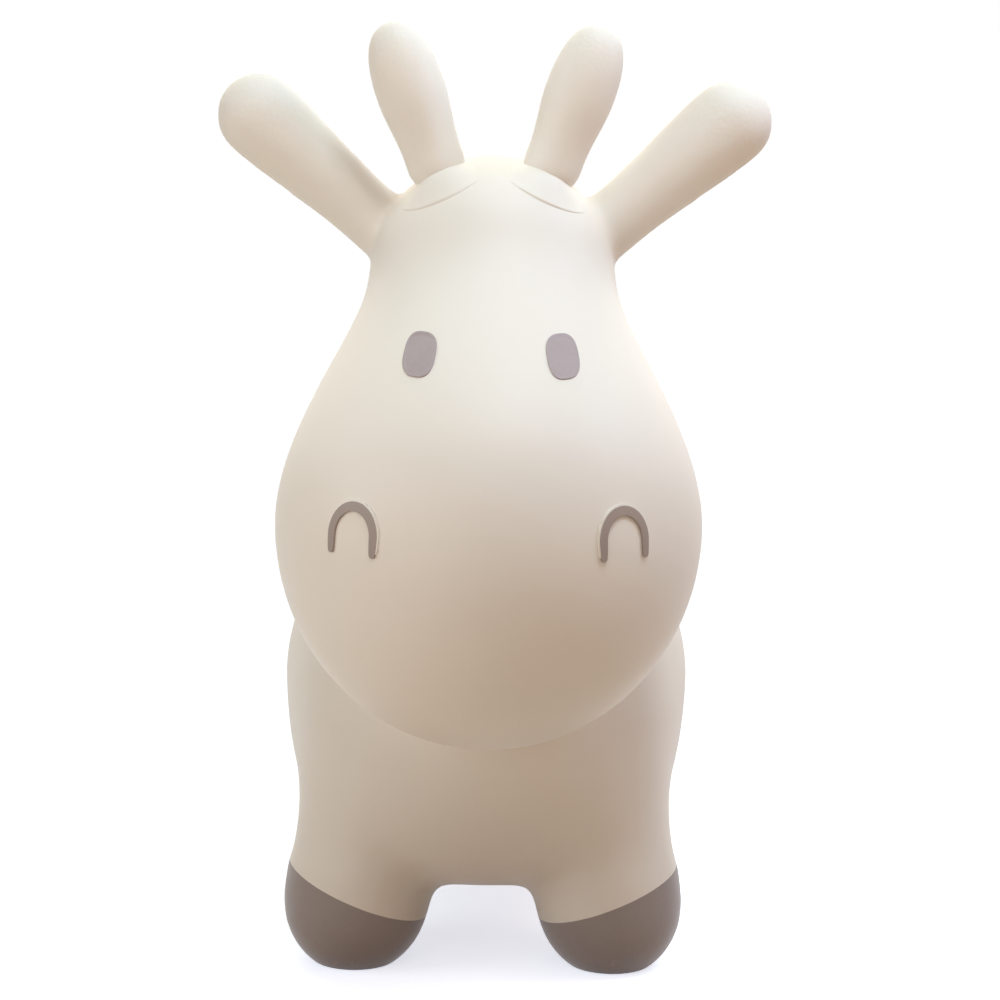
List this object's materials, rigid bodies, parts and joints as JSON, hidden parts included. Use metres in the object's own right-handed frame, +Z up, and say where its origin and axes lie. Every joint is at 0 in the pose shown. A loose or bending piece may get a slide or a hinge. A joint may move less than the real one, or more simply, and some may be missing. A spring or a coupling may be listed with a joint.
{
  "type": "inflatable animal hopper",
  "caption": "Air-filled vinyl calf for a child to sit on and bounce, with a saddle, short hoofed legs, and bendable ears and horns that serve as hand grips.",
  "frame": {"origin": "on the floor under the middle of the bounding box", "axes": "+Z up, -Y the way the face looks, +X the animal's own left side"},
  "size_m": [0.3018, 0.5399, 0.5332],
  "materials": {
    "cream_vinyl": "matte",
    "face_paint": "matte",
    "hoof_paint": "matte",
    "plug_plastic": "satin"
  },
  "bodies": {
    "body": {"torso": "cream_vinyl", "neck": "cream_vinyl", "head": "cream_vinyl", "leg_front_left": "cream_vinyl", "leg_front_right": "cream_vinyl", "leg_rear_left": "cream_vinyl", "leg_rear_right": "cream_vinyl", "hoof_front_left": "hoof_paint", "hoof_front_right": "hoof_paint", "hoof_rear_left": "hoof_paint", "hoof_rear_right": "hoof_paint", "eye_left": "face_paint", "eye_right": "face_paint", "nostril_left": "face_paint", "nostril_right": "face_paint", "tail": "cream_vinyl", "valve_seat": "cream_vinyl"},
    "ear_left": {"ear_left": "cream_vinyl"},
    "ear_right": {"ear_right": "cream_vinyl"},
    "horn_left": {"horn_left": "cream_vinyl"},
    "horn_right": {"horn_right": "cream_vinyl"},
    "plug": {"valve_plug": "plug_plastic"}
  },
  "joints": [
    {"name": "ear_left_flex", "type": "hinge", "parent": "body", "child": "ear_left", "pos_m": [0.06527, -0.082, 0.42713], "axis": [-0.6561, 0, 0.7547], "range_deg": [-20, 20], "stiffness_Nm_per_rad": 1.2},
    {"name": "horn_left_flex", "type": "hinge", "parent": "body", "child": "horn_left", "pos_m": [0.03141, -0.106, 0.46039], "axis": [-0.9466, 0, 0.3223], "range_deg": [-20, 20], "stiffness_Nm_per_rad": 1.2},
    {"name": "ear_right_flex", "type": "hinge", "parent": "body", "child": "ear_right", "pos_m": [-0.06527, -0.082, 0.42713], "axis": [-0.6561, 0, -0.7547], "range_deg": [-20, 20], "stiffness_Nm_per_rad": 1.2},
    {"name": "horn_right_flex", "type": "hinge", "parent": "body", "child": "horn_right", "pos_m": [-0.03141, -0.106, 0.46039], "axis": [-0.9466, 0, -0.3223], "range_deg": [-20, 20], "stiffness_Nm_per_rad": 1.2},
    {"name": "plug_pull", "type": "slide", "parent": "body", "child": "plug", "axis": [0, 0, -1], "range_m": [0, 0.02]}
  ]
}
